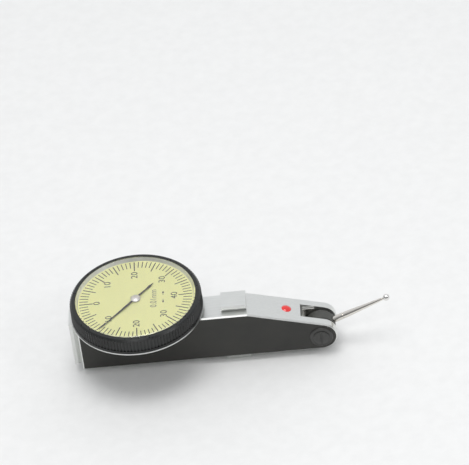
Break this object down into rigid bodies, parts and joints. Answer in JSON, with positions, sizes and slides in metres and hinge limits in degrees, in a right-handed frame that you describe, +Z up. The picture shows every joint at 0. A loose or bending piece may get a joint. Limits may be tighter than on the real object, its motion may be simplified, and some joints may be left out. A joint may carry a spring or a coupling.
{
  "type": "dial test indicator",
  "caption": "Lever-type dial test indicator: slim dovetailed bar body, turning black bezel with yellow dial, red seal plug and swivelling ball stylus.",
  "frame": {"origin": "on the dial axis, in the plane of the bar body's bottom face", "axes": "+Z up along the dial axis out of the dial, +X along the bar towards the stylus, +Y towards the side cover"},
  "size_m": [0.0922, 0.0384, 0.0243],
  "materials": {
    "satin_chrome": "satin chrome plate, finely brushed",
    "blackened_steel": "blackened steel, satin",
    "red_plastic": "glossy red",
    "polished_steel": "polished steel",
    "ball_chrome": "mirror polished ball",
    "brass_gears": "satin brass",
    "bearing_jewel": "bearing bronze, plain",
    "case_steel": "satin chrome plate",
    "black_bezel": "black satin enamel with fine straight knurl",
    "bright_ring": "bright satin",
    "clear_crystal": "clear",
    "dial_yellow": "matt pale yellow print ground",
    "hand_black": "black"
  },
  "bodies": {
    "housing": {"body_frame": "satin_chrome", "side_cover": "satin_chrome", "cover_screws": "blackened_steel", "seal_plug": "red_plastic", "pivot_screw_near": "blackened_steel", "pivot_screw_far": "blackened_steel", "pivot_washers": "blackened_steel", "hairspring": "polished_steel", "hairspring_stud": "brass_gears", "movement_plate": "brass_gears", "movement_screws": "polished_steel", "arbor_bushes": "bearing_jewel", "centre_bushes": "bearing_jewel", "centre_bridge": "brass_gears", "bridge_screw": "polished_steel", "dial_case": "case_steel", "case_screws": "polished_steel", "bezel_spring": "polished_steel"},
    "bezel": {"bezel_ring": "black_bezel", "rehaut_ring": "bright_ring", "crystal": "clear_crystal", "dial_plate": "dial_yellow"},
    "lever": {"pivot_shaft": "polished_steel", "lever_arm": "polished_steel", "lever_pin": "polished_steel", "friction_washer": "polished_steel"},
    "stylus": {"stylus_holder": "blackened_steel", "stylus_shank": "polished_steel", "stylus_ball": "ball_chrome"},
    "sector": {"sector_arbor": "polished_steel", "sector_gear": "brass_gears"},
    "crown": {"crown_arbor": "polished_steel", "crown_pinion": "polished_steel", "crown_gear": "brass_gears", "hairspring_collet": "brass_gears"},
    "pointer": {"centre_arbor": "polished_steel", "centre_pinion": "polished_steel", "hand": "hand_black", "hand_cap": "bright_ring"}
  },
  "joints": [
    {"name": "bezel_turn", "type": "hinge", "parent": "housing", "child": "bezel", "pos_m": [0, 0, 0.0195], "axis": [0, 0, 1], "continuous": true},
    {"name": "lever_measure", "type": "hinge", "parent": "housing", "child": "lever", "pos_m": [0.0518, 0, 0.0046], "axis": [0, 1, 0], "range_deg": [-2.3, 2.3], "stiffness_Nm_per_rad": 0.15},
    {"name": "stylus_swivel", "type": "hinge", "parent": "lever", "child": "stylus", "pos_m": [0.0518, 0, 0.0046], "axis": [0, 1, 0], "range_deg": [-86, 136]},
    {"name": "sector_turn", "type": "hinge", "parent": "housing", "child": "sector", "pos_m": [0.00944, 0, 0.0069], "axis": [0, 1, 0], "range_deg": [-14, 14]},
    {"name": "crown_spin", "type": "hinge", "parent": "housing", "child": "crown", "pos_m": [0, 0, 0.0069], "axis": [0, 1, 0], "range_deg": [-77, 77], "deforming": ["hairspring"]},
    {"name": "hand_spin", "type": "hinge", "parent": "housing", "child": "pointer", "pos_m": [0, 0, 0.02], "axis": [0, 0, 1], "range_deg": [-384, 384]}
  ],
  "couplings": [
    {"joint": "sector_turn", "follows": "lever_measure", "ratio": -5.9942},
    {"joint": "crown_spin", "follows": "lever_measure", "ratio": 33.301},
    {"joint": "hand_spin", "follows": "lever_measure", "ratio": 166.5}
  ]
}
